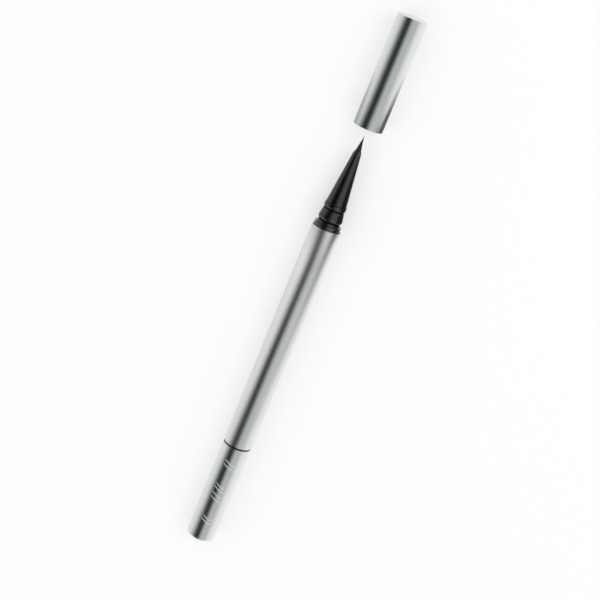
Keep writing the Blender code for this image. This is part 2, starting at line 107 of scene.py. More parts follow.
SHOULDER_STEPS = 14
NIB_BORE_RADIUS = 0.94
NIB_BORE_BACK = 18.9
HOLDER_BORE_RADIUS = 1.4
HOLDER_BORE_BACK = 11.0
BACK_BORE_RADIUS = 2.1

# The nib. It has three sets of ridges round it, and they are mostly cut in.
NIB_RADIUS = 0.84
NIB_POINT = 5.0
NIB_FULLNESS = 1.15
NIB_FINENESS = 1.25
NIB_SHANK = 11.6
NIB_STEPS = 40
RIDGE_DEPTH_SHARE = 0.035
RIDGE_SINK = 0.5
RIDGE_COUNTS = (9, 15, 26)
RIDGE_SEED = 7

# The insides of the caps, inward from their mouths
LINER_ROUND = 0.1
NIB_LINER = (1.5, 16.0)
NIB_LINER_BORE = 3.84
SEAL_START = 16.05
SEAL_END = 32.95
SEAL_LIP_RADIUS = 2.30
SEAL_LIP_ROUND = 0.15
SEAL_FLANGE = 0.9
SEAL_FLANGE_ROUND = 0.2
SEAL_NARROW = 23.1
SEAL_NARROW_RADIUS = 1.45
SEAL_NARROW_ROUND = 0.5
SEAL_WALL = 0.7
SEAL_END_WALL = 0.8
SEAL_BOTTOM_ROUND = 0.4
SEAL_END_ROUND = 0.3
PENCIL_LINER = (0.3, 10.3)
PENCIL_LINER_BORE = 3.6

# The pencil end, outward from the barrel's back rim
FLANGE = (0.05, 0.50)
FLANGE_RADIUS = 4.38
BUSH_SPIGOT = 6.0
BUSH_NECK_RADIUS = 3.5
BUSH_NECK_END = 4.50
BUSH_NECK_ROUND = 0.2
BUSH_BORE = 2.4
SPINDLE_RADIUS = 2.3
SPINDLE_BORE = 1.45
SHOULDER_BACK = 4.55
SHOULDER_FRONT = 5.75
PENCIL_CONE_BACK_RADIUS = 3.3
PENCIL_CONE_FRONT_RADIUS = 1.55
PENCIL_MOUTH = 13.55
PENCIL_MOUTH_WEB = 1.2
PENCIL_MOUTH_ROUND = 0.25
LEAD_BORE = 1.0
RING_GROOVE = (0.50, 1.10)
RING_GROOVE_RADIUS = 1.82
SOCKET_DEPTH = 3.0
SOCKET_RADIUS = 1.95
LEAD_RADIUS = 0.90
LEAD_SHOULDER_ROUND = 0.4
LEAD_TIP_RADIUS = 0.45
LEAD_TIP = 1.0
LEAD_TIP_ROUND = 0.18

# The ticks on the pencil cap, in three groups along it
TICK_GROUPS = ((28.8, 27.4), (20.4, 19.2, 17.2, 15.7), (8.6, 7.35))
TICK_START_ANGLE = math.radians(20)
TICK_SWEEP = math.radians(45)
TICK_DROP = 1.4
TICK_BOW = 0.28
TICK_WIDTH = 0.44
TICK_END_POWER = 6
TICK_HEIGHT = 0.012
TICK_SINK = 0.03
TICK_STEPS = 24

# How finely round things are made, and how much long faces outweigh narrow ones in
# their shading
OUTER_SIDES = 128
INNER_SIDES = 96
NIB_SIDES = 120
ROUND_STEPS = 5
SHARP_ANGLE = math.radians(32)
FACE_WEIGHT = 100

# The coat of black plastic: how much it would have at full gloss, and its roughness
COAT_SHARE = 0.74
COAT_ROUGHNESS = 0.15

# Places along the pen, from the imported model
barrel_low, barrel_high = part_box("barrel_tube")
barrel_front = barrel_high.x
barrel_back = barrel_low.x
barrel_length = (barrel_high.x - barrel_low.x) / MM
nib_cap_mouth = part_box("nib_cap_shell")[0].x
nib_cap_length = (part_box("nib_cap_shell")[1].x - nib_cap_mouth) / MM
pencil_cap_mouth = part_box("pencil_cap_shell")[1].x
pencil_cap_length = (pencil_cap_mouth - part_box("pencil_cap_shell")[0].x) / MM
lead_back = (barrel_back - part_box("pencil_lead")[1].x) / MM
lead_front = (barrel_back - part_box("pencil_lead")[0].x) / MM

# The photograph's camera: the pen's lean and tilt in the picture, and where the
# barrel's front rim lies from the camera, in metres
PHOTO_WIDTH = 600
FOCAL_PIXELS = 1404
SENSOR_WIDTH = 36
PEN_LEAN = math.radians(22.52)
PEN_TILT = math.radians(18.02)
RIM_RIGHT = 0.00787
RIM_UP = 0.02586
RIM_DEPTH = 0.4135
AIM_UP = math.radians(0.62)
CLIP_START = 0.01
CLIP_END = 20

# The studio, in metres and watts
FLOOR_SIZE = 6.0
FLOOR_GAP = 0.00002
FLOOR_COLOUR = (0.60, 0.60, 0.60)
FLOOR_ROUGHNESS = 0.9
KEY_POWER = 2.2
KEY_SIZE = 0.9
KEY_PLACE = (0.45, -0.55, 0.95)
FILL_POWER = 1.1
FILL_SIZE = 0.9
FILL_PLACE = (-0.25, 0.75, 0.85)
WORLD_LEVEL = 0.72

# The light that brings the floor to white for the camera, near the pen and far away
FLOOR_LIFT = 0.46
FLOOR_FAR_LIFT = 0.60
FLOOR_NEAR = 0.3
FLOOR_FAR = 1.6

# The tent over the pen, in metres. Its light spans TENT_TURN to each side.
TENT_RADIUS = 0.08
TENT_LENGTH = 1.2
TENT_SIDES = 48
TENT_FOOT = 0.0065
TENT_LIFT = 0.00004
TENT_TURN = math.radians(130)

# Light in the tent by the angle from straight up, in degrees, negative to the
# picture's left
LIGHT_AT_CAP = (
    (-130, 0.92),
    (-98, 0.87),
    (-84, 0.80),
    (-70, 0.64),
    (-52, 0.31),
    (-38, 0.06),
    (-14, 0.01),
    (-6, 0.08),
    (10, 0.49),
    (22, 0.58),
    (42, 0.51),
    (60, 0.74),
    (78, 0.92),
    (100, 0.98),
    (130, 1.00),
)
LIGHT_AT_BARREL = (
    (-130, 0.81),
    (-98, 0.88),
    (-72, 0.88),
    (-60, 0.76),
    (-46, 0.46),
    (-34, 0.10),
    (-24, 0.00),
    (-12, 0.00),
    (0, 0.14),
    (14, 0.53),
    (26, 0.62),
    (58, 0.61),
    (72, 0.57),
    (86, 0.92),
    (130, 1.00),
)
LIGHT_AT_COLLAR = (
    (-130, 0.72),
    (-108, 0.86),
    (-92, 0.92),
    (-70, 0.86),
    (-54, 0.74),
    (-40, 0.50),
    (-26, 0.18),
    (-12, 0.00),
    (-2, 0.05),
    (8, 0.28),
    (20, 0.60),
    (38, 0.74),
    (52, 0.70),
    (66, 0.46),
    (80, 0.38),
    (94, 0.66),
    (108, 0.98),
    (130, 1.04),
)
LIGHT_AT_RIM = (
    (-130, 0.72),
    (-108, 0.86),
    (-92, 1.08),
    (-70, 1.24),
    (-54, 1.20),
    (-40, 0.90),
    (-26, 0.42),
    (-12, 0.06),
    (-2, 0.00),
    (8, 0.06),
    (20, 0.28),
    (38, 0.36),
    (52, 0.38),
    (66, 0.42),
    (80, 0.42),
    (94, 0.66),
    (108, 0.98),
    (130, 1.04),
)
LIGHT_AT_NOSE = (
    (-130, 0.42),
    (-98, 0.52),
    (-84, 0.60),
    (-70, 0.38),
    (-46, 0.06),
    (-36, 0.00),
    (-22, 0.00),
    (-12, 0.06),
    (0, 0.22),
    (12, 0.48),
    (24, 0.62),
    (44, 0.66),
    (58, 0.40),
    (72, 0.05),
    (98, 0.04),
    (114, 0.16),
    (130, 0.20),
)

# Where along the pen each light is seen, in metres, and how much brighter its top is
# there. The top reaches TENT_TOP degrees to each side.
TENT_PLACES = (
    (0.030, LIGHT_AT_CAP, 1.0),
    (0.064, LIGHT_AT_BARREL, 1.0),
    (0.096, LIGHT_AT_COLLAR, 1.0),
    (0.104, LIGHT_AT_RIM, 1.0),
    (0.109, LIGHT_AT_RIM, 1.0),
    (0.112, LIGHT_AT_NOSE, 1.6),
    (0.118, LIGHT_AT_NOSE, 1.6),
    (0.132, LIGHT_AT_NOSE, 1.0),
    (0.150, LIGHT_AT_NOSE, 1.0),
    (0.162, LIGHT_AT_CAP, 1.0),
)
TENT_TOP = 60

# Seen from the photograph's camera, a reflection reaches the tent further back along
# the pen than it is seen, by this share of how far the tent is from the pen
TENT_LAG = 0.325

# How much less red and blue the dark parts of the light have
DIM_LESS_RED = 0.12
DIM_LESS_BLUE = 0.04


# Shapes

def rounded(corners, closed):
    """Points of an outline. Each corner is (along, radius), or has a third number,
    the radius of its rounding."""
    points = []
    count = len(corners)
    for index, corner in enumerate(corners):
        at = Vector(corner[:2])
        size = corner[2] if len(corner) > 2 else 0
        ends = not closed and index in (0, count - 1)
        if ends or not size:
            points.append(tuple(at))
            continue
        before = (Vector(corners[index - 1][:2]) - at).normalized()
        after = (Vector(corners[(index + 1) % count][:2]) - at).normalized()
        half = before.angle(after) / 2
        middle = at + (before + after).normalized() * (size / math.sin(half))
        first = at + before * (size / math.tan(half)) - middle
        last = at + after * (size / math.tan(half)) - middle
        turn = first.angle_signed(last)
        for step in range(ROUND_STEPS + 1):
            part = turn * step / ROUND_STEPS
            arm = Matrix.Rotation(-part, 2) @ first
            points.append(tuple(middle + arm))
    return points


def lathe(name, points, start, direction, sides, radius_share=None):
    """The outline turned about the pen's axis, from start along direction.
    An outline that starts and ends on the axis is a solid, and any other is a ring.
    radius_share gives what share of its radius a point has at an angle."""
    made = bmesh.new()
    rings = []
    for along, radius in points:
        x = start + direction * along * MM
        if radius <= 0:
            rings.append([made.verts.new((x, 0, 0))])
            continue
        ring = []
        for side in range(sides):
            angle = 2 * math.pi * side / sides
            reach = radius * MM
            if radius_share:
                reach *= radius_share(angle)
            place = (x, reach * math.cos(angle), reach * math.sin(angle))
            ring.append(made.verts.new(place))
        rings.append(ring)
    pairs = list(zip(rings, rings[1:]))
    if len(rings[0]) > 1:
        pairs.append((rings[-1], rings[0]))
    for first, second in pairs:
        for side in range(sides):
            after = (side + 1) % sides
            if len(first) == 1:
                made.faces.new((first[0], second[side], second[after]))
            elif len(second) == 1:
                made.faces.new((first[side], first[after], second[0]))
            else:
                made.faces.new((first[side], first[after], second[after], second[side]))
    bmesh.ops.recalc_face_normals(made, faces=made.faces[:])
    return smooth_object(name, made)


def plain_object(name, made):
    """The made mesh as an object in the scene."""
    mesh = bpy.data.meshes.new(name)
    made.to_mesh(mesh)
    made.free()
    item = bpy.data.objects.new(name, mesh)
    bpy.context.scene.collection.objects.link(item)
    return item


def smooth_object(name, made):
    """The made mesh as an object that is shaded smooth, with its sharp edges kept."""
    item = plain_object(name, made)
    item.data.shade_smooth()
    item.data.set_sharp_from_angle(angle=SHARP_ANGLE)
    return item


def level_normals(item):
    """Long faces stay evenly shaded beside their narrow rounded edges."""
    step = item.modifiers.new("level_normals", "WEIGHTED_NORMAL")
    step.keep_sharp = True
    step.weight = FACE_WEIGHT


def dress(item, material, body, slot, *nodes):
    """Give a piece its material and its body, and hide the nodes that it stands for. The slot
    is not used.
    """
    item.data.materials.append(material)
    level_normals(item)
    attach(item, body)
    if nodes:
        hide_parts(*nodes)


def turned(name, corners, start, direction, sides, closed=True):
    return lathe(name, rounded(corners, closed), start, direction, sides)


def tube_corners(start, end, outer, inner, outer_round, inner_round):
    """Corners of a tube's wall, with its outer and its inner edges rounded."""
    return [
        (start, outer, outer_round),
        (end, outer, outer_round),
        (end, inner, inner_round),
        (start, inner, inner_round),
    ]


# Finishes. Noise scales are in waves a metre, and the depths of bumps in metres.

def new_material(name):
    """A material, its tree and its shader, and the place that its noise follows."""
    material = bpy.data.materials.new(name)
    material.use_nodes = True
    tree = material.node_tree
    shader = tree.nodes["Principled BSDF"]
    place = tree.nodes.new("ShaderNodeTexCoord")
    return material, tree, shader, place.outputs["Object"]


def stretched(tree, place, scale):
    step = tree.nodes.new("ShaderNodeMapping")
    step.inputs["Scale"].default_value = scale
    tree.links.new(place, step.inputs["Vector"])
    return step.outputs["Vector"]


def noise(tree, place, scale, detail=3.0, roughness=0.5):
    step = tree.nodes.new("ShaderNodeTexNoise")
    step.inputs["Scale"].default_value = scale
    step.inputs["Detail"].default_value = detail
    step.inputs["Roughness"].default_value = roughness
    tree.links.new(place, step.inputs["Vector"])
    return step.outputs["Fac"]


def spread(tree, value, low, high, start=0.25, end=0.75):
    """The value, which runs from start to end, brought to run from low to high."""
    step = tree.nodes.new("ShaderNodeMapRange")
    step.inputs["From Min"].default_value = start
    step.inputs["From Max"].default_value = end
    step.inputs["To Min"].default_value = low
    step.inputs["To Max"].default_value = high
    tree.links.new(value, step.inputs["Value"])
    return step.outputs["Result"]


def blend_colours(tree, share, first, second):
    step = tree.nodes.new("ShaderNodeMix")
    step.data_type = "RGBA"
    step.inputs["A"].default_value = (*first, 1)
    step.inputs["B"].default_value = (*second, 1)
    tree.links.new(share, step.inputs["Factor"])
    return step.outputs["Result"]


def set_colour(tree, shader, share, first, second):
    """The surface's colour, from first where the share is 0 to second where it is 1."""
    colour = blend_colours(tree, share, first, second)
    tree.links.new(colour, shader.inputs["Base Color"])


def set_roughness(tree, shader, value, low, high):
    tree.links.new(spread(tree, value, low, high), shader.inputs["Roughness"])


def add_bump(tree, shader, height, depth, strength):
    step = tree.nodes.new("ShaderNodeBump")
    step.inputs["Distance"].default_value = depth
    step.inputs["Strength"].default_value = strength
    tree.links.new(height, step.inputs["Height"])
    tree.links.new(step.outputs["Normal"], shader.inputs["Normal"])


def silver(name, roughness, streak):
    """Satin anodised metal: faint drawn streaks along the tube, and a fine grain."""
    material, tree, shader, place = new_material(name)
    streaks = noise(tree, stretched(tree, place, (60, 5200, 5200)), scale=1.0, detail=2.0)
    grain = noise(tree, place, scale=14000, detail=2.0)
    cloud = noise(tree, place, scale=160, detail=2.0)
    set_colour(tree, shader, spread(tree, cloud, 0, 1),
               first=(0.768, 0.785, 0.778), second=(0.796, 0.812, 0.806))
    set_roughness(tree, shader, streaks, low=roughness - streak, high=roughness + streak)
    shader.inputs["Metallic"].default_value = 1.0
    add_bump(tree, shader, grain, depth=1.6 * MICRON, strength=0.5)
    return material


def black_plastic(name, roughness, gloss):
    """Moulded plastic with a barely visible texture from its mould. The less gloss it
    has, the thinner its coat."""
    material, tree, shader, place = new_material(name)
    grain = noise(tree, place, scale=5200)
    patch = noise(tree, place, scale=420, detail=2.0)
    set_colour(tree, shader, patch,
               first=(0.0016, 0.0017, 0.0018), second=(0.0034, 0.0035, 0.0036))
    set_roughness(tree, shader, patch, low=roughness - 0.03, high=roughness + 0.05)
    shader.inputs["Specular IOR Level"].default_value = gloss
    shader.inputs["Coat Weight"].default_value = gloss * gloss * COAT_SHARE
    shader.inputs["Coat Roughness"].default_value = COAT_ROUGHNESS
    add_bump(tree, shader, grain, depth=4 * MICRON, strength=0.35)
    return material


def white_plastic(name):
    """Natural moulded plastic, a little waxy."""
    material, tree, shader, place = new_material(name)
    grain = noise(tree, place, scale=3600)
    patch = noise(tree, place, scale=300, detail=2.0)
    set_colour(tree, shader, patch, first=(0.76, 0.76, 0.735), second=(0.83, 0.83, 0.81))
    set_roughness(tree, shader, grain, low=0.36, high=0.50)
    shader.inputs["Subsurface Weight"].default_value = 0.08
    shader.inputs["Subsurface Scale"].default_value = 0.6 * MM
    add_bump(tree, shader, grain, depth=6 * MICRON, strength=0.4)
    return material


def ink_fibre(name):
    """Bundled fibres soaked with dark ink, with their grain along the pen."""
    material, tree, shader, place = new_material(name)
    along = stretched(tree, place, (260, 9500, 9500))
    strands = noise(tree, along, scale=1.0, detail=3.0, roughness=0.6)
    patch = noise(tree, place, scale=900, detail=2.0)
    set_colour(tree, shader, spread(tree, strands, 0, 1),
               first=(0.0035, 0.0032, 0.0032), second=(0.021, 0.018, 0.017))
    set_roughness(tree, shader, patch, low=0.34, high=0.60)
    shader.inputs["Specular IOR Level"].default_value = 0.6
    add_bump(tree, shader, strands, depth=30 * MICRON, strength=0.6)
    return material


def clear_film(name):
    """Thin film with a long ripple across the pen."""
    material, tree, shader, place = new_material(name)
    ripple = noise(tree, stretched(tree, place, (900, 260, 260)), scale=1.0, detail=2.0)
    set_colour(tree, shader, ripple, first=(0.68, 0.70, 0.70), second=(0.77, 0.79, 0.79))
    set_roughness(tree, shader, ripple, low=0.12, high=0.24)
    add_bump(tree, shader, ripple, depth=20 * MICRON, strength=0.4)
    return material


def brow_wax(name):
    """A brown wax lead with fine pigment specks and a dusty bloom."""
    material, tree, shader, place = new_material(name)
    specks = noise(tree, place, scale=9000, detail=4.0, roughness=0.7)
    bloom = noise(tree, place, scale=1100)
    set_colour(tree, shader, spread(tree, specks, 0, 1),
               first=(0.078, 0.044, 0.029), second=(0.135, 0.083, 0.057))
    set_roughness(tree, shader, bloom, low=0.48, high=0.72)
    add_bump(tree, shader, specks, depth=12 * MICRON, strength=0.6)
    return material


def ring_rubber(name):
    """Soft grey rubber with a fine grain."""
    material, tree, shader, place = new_material(name)
    grain = noise(tree, place, scale=6500)
    set_colour(tree, shader, grain, first=(0.17, 0.17, 0.17), second=(0.23, 0.23, 0.23))
    set_roughness(tree, shader, grain, low=0.58, high=0.78)
    add_bump(tree, shader, grain, depth=8 * MICRON, strength=0.5)
    return material


def etched_silver(name):
    """The ticks: metal frosted pale."""
    material, tree, shader, place = new_material(name)
    frost = noise(tree, place, scale=16000)
    set_colour(tree, shader, frost, first=(0.95, 0.96, 0.955), second=(0.99, 1.0, 0.995))
    set_roughness(tree, shader, frost, low=0.46, high=0.58)
    shader.inputs["Metallic"].default_value = 0.75
    add_bump(tree, shader, frost, depth=4 * MICRON, strength=0.6)
    return material


satin = silver("satin_silver", roughness=0.30, streak=0.025)
bright = silver("bright_silver", roughness=0.24, streak=0.02)
black = black_plastic("black_plastic", roughness=0.20, gloss=0.9)
matt_black = black_plastic("matt_black_plastic", roughness=0.46, gloss=0.3)
# Less glossy black for the faces of the nose's grooves, so that they reflect less: painted
# shade in the grooves
groove_shade_black = black_plastic("groove_shade_plastic", roughness=0.60, gloss=0.2)
white = white_plastic("white_plastic")
fibre = ink_fibre("ink_fibre")
film = clear_film("clear_film")
wax = brow_wax("brow_wax")
rubber = ring_rubber("ring_rubber")
frosted = etched_silver("etched_silver")


# The pen's pieces

def barrel_outer():
    corners = tube_corners(0, barrel_length, PEN_RADIUS, BORE_RADIUS, RIM_ROUND, INNER_ROUND)
    item = turned("barrel_outer", corners, barrel_back, 1, OUTER_SIDES)
    dress(item, satin, "barrel", "silver_aluminium", "barrel_tube")


def cone_radius(along):
    """The radius of the nose's cone, or of its line carried on."""
    share = (along - CONE_BACK) / (CONE_END - CONE_BACK)
    return CONE_BACK_RADIUS + (CONE_FRONT_RADIUS - CONE_BACK_RADIUS) * share


def shoulder_corners():
    """The cone's line carried on to the mouth, and rounded off more and more."""
    extra = cone_radius(NOSE_MOUTH) - NOSE_MOUTH_RADIUS
    corners = []
    for step in range(SHOULDER_STEPS + 1):
        share = step / SHOULDER_STEPS
        along = CONE_END + (NOSE_MOUTH - CONE_END) * share
        corners.append((along, cone_radius(along) - extra * share ** 2))
    return corners


def groove(places, floor, radius_before, radius_after):
    """Corners of a groove from one place to the other, between two radii."""
    return [
        (places[0], radius_before, GROOVE_EDGE_ROUND),
        (places[0], floor, GROOVE_EDGE_ROUND),
        (places[1], floor, GROOVE_EDGE_ROUND),
        (places[1], radius_after, GROOVE_EDGE_ROUND),
    ]


def in_groove(along):
    for start, end in (NECK_GROOVE, GRIP_GROOVE, CONE_GROOVE):
        if start <= along <= end:
            return True
    return False


def nose_moulding():
    """The stepped nose. The faces of its three outer grooves are a less glossy black, which
    paints shade into the grooves.
    """
    spigot_bore = FITTED_RADIUS - NOSE_SPIGOT_WALL
    corners = [
        (-NOSE_SPIGOT, FITTED_RADIUS, INNER_ROUND),
        (BASE_RING_LENGTH, FITTED_RADIUS, BASE_RING_ROUND),
        (BASE_RING_LENGTH, NECK_RADIUS, INNER_ROUND),
    ]
    corners += groove(NECK_GROOVE, NECK_GROOVE_RADIUS, NECK_RADIUS, GRIP_EDGE_RADIUS)
    corners.append((GRIP_CREST, GRIP_CREST_RADIUS, GRIP_ROUND))
    corners += groove(GRIP_GROOVE, GRIP_GROOVE_RADIUS, GRIP_FRONT_RADIUS, BEAD_EDGE_RADIUS)
    corners.append((BEAD_CREST, BEAD_RADIUS, BEAD_ROUND))
    corners += groove(CONE_GROOVE, CONE_GROOVE_RADIUS, BEAD_EDGE_RADIUS,
                      cone_radius(CONE_GROOVE[1]))
    corners += shoulder_corners()
    corners += [
        (NOSE_MOUTH, NIB_BORE_RADIUS, INNER_ROUND),
        (NIB_BORE_BACK, NIB_BORE_RADIUS),
        (NIB_BORE_BACK, HOLDER_BORE_RADIUS),
        (HOLDER_BORE_BACK, HOLDER_BORE_RADIUS),
        (HOLDER_BORE_BACK, BACK_BORE_RADIUS),
        (0, BACK_BORE_RADIUS),
        (0, spigot_bore),
        (-NOSE_SPIGOT, spigot_bore),
    ]
    item = turned("nose_moulding", corners, barrel_front, 1, OUTER_SIDES)
    dress(item, black, "barrel", "black_plastic", "nose_cone")
    item.data.materials.append(groove_shade_black)
    # The groove faces take the less glossy black, painted shade in the grooves
    for face in item.data.polygons:
        along = (face.center.x - barrel_front) / MM
        radius = math.hypot(face.center.y, face.center.z) / MM
        if radius > BACK_BORE_RADIUS and in_groove(along):
            face.material_index = 1


def nib_point():
    """The fibre nib. Its point is full at first and then fine, and it is ridged."""
    draw = random.Random(RIDGE_SEED)
    phases = [draw.uniform(0, 2 * math.pi) for _ in RIDGE_COUNTS]

    def ridges(angle):
        total = 0
        for count, phase in zip(RIDGE_COUNTS, phases):
            total += math.cos(count * angle + phase)
        return 1 + RIDGE_DEPTH_SHARE * (total / len(RIDGE_COUNTS) - RIDGE_SINK)

    back = NOSE_MOUTH - NIB_SHANK
    points = [(back, 0), (back, NIB_RADIUS), (NOSE_MOUTH - INNER_ROUND, NIB_RADIUS)]
    for step in range(NIB_STEPS + 1):
        share = step / NIB_STEPS
        radius = NIB_RADIUS * (1 - share ** NIB_FULLNESS) ** NIB_FINENESS
        points.append((NOSE_MOUTH + NIB_POINT * share, radius))
    item = lathe("nib_point", points, barrel_front, 1, NIB_SIDES, ridges)
    dress(item, fibre, "barrel", "ink_fibre", "nib")


def cap_outer(name, node, body, mouth, direction, length, end_round):
    """A cap's metal tube with its closed end, from its mouth along direction."""
    floor = length - CAP_END_WALL
    corners = [
        (floor, 0),
        (floor, BORE_RADIUS, end_round / 2),
        (0, BORE_RADIUS, INNER_ROUND),
        (0, PEN_RADIUS, RIM_ROUND),
        (length, PEN_RADIUS, end_round),
        (length, 0),
    ]
    item = turned(name, corners, mouth, direction, OUTER_SIDES, closed=False)
    dress(item, bright, body, "silver_aluminium", node)


def cap_lining(name, node, body, mouth, direction, places, bore):
    """The sleeve in a cap, between two places that are measured from its mouth."""
    corners = tube_corners(*places, FITTED_RADIUS, bore, INNER_ROUND, LINER_ROUND)
    item = turned(name, corners, mouth, direction, INNER_SIDES)
    dress(item, white, body, "white_plastic", node)


def nib_cap():
    """The cap that is off, with its sleeve and the cup that seals the nose."""
    cap_outer("nib_cap_outer", "nib_cap_shell", "nib_cap", nib_cap_mouth, 1,
              nib_cap_length, NIB_CAP_END_ROUND)
    cap_lining("nib_cap_lining", "nib_cap_liner", "nib_cap", nib_cap_mouth, 1,
               NIB_LINER, NIB_LINER_BORE)
    bottom = SEAL_END - SEAL_END_WALL
    flange = SEAL_START + SEAL_FLANGE
    narrow_outside = SEAL_NARROW_RADIUS + SEAL_WALL
    corners = [
        (bottom, 0),
        (bottom, SEAL_NARROW_RADIUS, SEAL_BOTTOM_ROUND),
        (SEAL_NARROW, SEAL_NARROW_RADIUS, SEAL_NARROW_ROUND),
        (SEAL_START, SEAL_LIP_RADIUS, SEAL_LIP_ROUND),
        (SEAL_START, FITTED_RADIUS, INNER_ROUND),
        (flange, FITTED_RADIUS, INNER_ROUND),
        (flange, SEAL_LIP_RADIUS + SEAL_WALL, SEAL_FLANGE_ROUND),
        (SEAL_NARROW, narrow_outside, SEAL_NARROW_ROUND),
        (SEAL_END, narrow_outside, SEAL_END_ROUND),
        (SEAL_END, 0),
    ]
    cup = turned("nib_cap_inner_cup", corners, nib_cap_mouth, 1, INNER_SIDES, closed=False)
    dress(cup, white, "nib_cap", "white_plastic", "nib_cap_seal")


def pencil_cap():
    cap_outer("pencil_cap_outer", "pencil_cap_shell", "pencil_cap", pencil_cap_mouth, -1,
              pencil_cap_length, PENCIL_CAP_END_ROUND)
    cap_lining("pencil_cap_lining", "pencil_cap_liner", "pencil_cap", pencil_cap_mouth, -1,
               PENCIL_LINER, PENCIL_LINER_BORE)


def tick_point(start, share, side, radius):
    """A point on a tick, at a share of its length and on one side of its middle line.
    The tick is bowed most and widest halfway."""
    angle = TICK_START_ANGLE - TICK_SWEEP * share
    bow = TICK_BOW * 4 * share * (1 - share)
    width = TICK_WIDTH * math.sqrt(max(0, 1 - (2 * share - 1) ** TICK_END_POWER))
    along = start - TICK_DROP * (share - 0.5) - bow + side * width / 2
    reach = radius * MM
    return (along * MM, reach * math.sin(angle), reach * math.cos(angle))


def add_tick(made, start):
    rings = []
    for step in range(TICK_STEPS + 1):
        share = step / TICK_STEPS
        ring = []
        for side, lift in ((-1, -TICK_SINK), (1, -TICK_SINK), (1, TICK_HEIGHT),
                           (-1, TICK_HEIGHT)):
            place = tick_point(start, share, side, PEN_RADIUS + lift)
            ring.append(made.verts.new(place))
        rings.append(ring)
    for first, second in zip(rings, rings[1:]):
        for corner in range(4):
            after = (corner + 1) % 4
            made.faces.new((first[corner], first[after], second[after], second[corner]))
    made.faces.new(rings[0])
    made.faces.new(rings[-1])


def ticks():
    """Short pale ticks etched aslant on the pencil cap, as low raised strips."""
    made = bmesh.new()
    for group in TICK_GROUPS:
        for start in group:
            add_tick(made, start)
    bmesh.ops.remove_doubles(made, verts=made.verts[:], dist=MICRON)
    bmesh.ops.recalc_face_normals(made, faces=made.faces[:])
    item = smooth_object("pencil_cap_ticks", made)
    dress(item, frosted, "pencil_cap", "silver_aluminium")


def pencil_bush():
    """The black bush. Its flange is the ring that shows at the pencil cap's mouth."""
    corners = [
        (-BUSH_SPIGOT, FITTED_RADIUS, INNER_ROUND),
        (FLANGE[0], FITTED_RADIUS),
        (FLANGE[0], FLANGE_RADIUS, INNER_ROUND),
        (FLANGE[1], FLANGE_RADIUS, INNER_ROUND),
        (FLANGE[1], BUSH_NECK_RADIUS, INNER_ROUND),
        (BUSH_NECK_END, BUSH_NECK_RADIUS, BUSH_NECK_ROUND),
        (BUSH_NECK_END, BUSH_BORE),
        (-BUSH_SPIGOT, BUSH_BORE),
    ]
    item = turned("pencil_bush_moulding", corners, barrel_back, -1, OUTER_SIDES)
    dress(item, matt_black, "barrel", "black_plastic", "pencil_bush")


def pencil_nose():
    """The cone that is twisted, with its spindle, ring groove and socket behind it."""
    web = PENCIL_MOUTH - PENCIL_MOUTH_WEB
    socket = SOCKET_DEPTH - BUSH_SPIGOT
    corners = [
        (-BUSH_SPIGOT, SPINDLE_RADIUS),
        (RING_GROOVE[0], SPINDLE_RADIUS),
        (RING_GROOVE[0], RING_GROOVE_RADIUS),
        (RING_GROOVE[1], RING_GROOVE_RADIUS),
        (RING_GROOVE[1], SPINDLE_RADIUS),
        (SHOULDER_BACK, SPINDLE_RADIUS),
        (SHOULDER_BACK, BUSH_NECK_RADIUS, BUSH_NECK_ROUND),
        (SHOULDER_FRONT, BUSH_NECK_RADIUS, BUSH_NECK_ROUND / 2),
        (SHOULDER_FRONT, PENCIL_CONE_BACK_RADIUS, INNER_ROUND),
        (PENCIL_MOUTH, PENCIL_CONE_FRONT_RADIUS, PENCIL_MOUTH_ROUND),
        (PENCIL_MOUTH, LEAD_BORE, INNER_ROUND),
        (web, LEAD_BORE),
        (web, SPINDLE_BORE),
        (socket, SPINDLE_BORE),
        (socket, SOCKET_RADIUS),
        (-BUSH_SPIGOT, SOCKET_RADIUS),
    ]
    item = turned("pencil_nose_moulding", corners, barrel_back, -1, INNER_SIDES)
    dress(item, black, "pencil_twister", "black_plastic", "pencil_nose")


def brow_lead():
    corners = [
        (lead_back, 0),
        (lead_back, LEAD_RADIUS, INNER_ROUND),
        (lead_front - LEAD_TIP, LEAD_RADIUS, LEAD_SHOULDER_ROUND),
        (lead_front, LEAD_TIP_RADIUS, LEAD_TIP_ROUND),
        (lead_front, 0),
    ]
    item = turned("brow_lead", corners, barrel_back, -1, INNER_SIDES, closed=False)
    dress(item, wax, "lead_slide", "brow_lead", "pencil_lead")


def inner_nodes():
    """The nodes inside keep their shapes and get their finish."""
    finishes = {
        "nib_holder": white,
        "ink_feed": fibre,
        "ink_chamber": white,
        "ink_reservoir": fibre,
        "reservoir_wrap": film,
        "chamber_plug": white,
        "spiral_sleeve": white,
        "guide_tube": white,
        "friction_ring": rubber,
        "lead_carrier": white,
    }
    for node, material in finishes.items():
        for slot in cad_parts[node].material_slots:
            slot.material = material


# The studio

def maths(tree, operation, *values):
    """What the operation makes of the values. Each is a socket or a number."""
    step = tree.nodes.new("ShaderNodeMath")
    step.operation = operation
    for value, socket in zip(values, step.inputs):
        if isinstance(value, bpy.types.NodeSocket):
            tree.links.new(value, socket)
        else:
            socket.default_value = value
    return step.outputs[0]


def vector_length(tree, vector):
    step = tree.nodes.new("ShaderNodeVectorMath")
    step.operation = "LENGTH"
    tree.links.new(vector, step.inputs[0])
    return step.outputs["Value"]


def light_path_share(tree):
    """1 for what the camera, a reflection or a clear piece sees, and 0 otherwise."""
    path = tree.nodes.new("ShaderNodeLightPath").outputs
    seen = maths(tree, "MAXIMUM", path["Is Camera Ray"], path["Is Glossy Ray"])
    return maths(tree, "MAXIMUM", seen, path["Is Transmission Ray"])


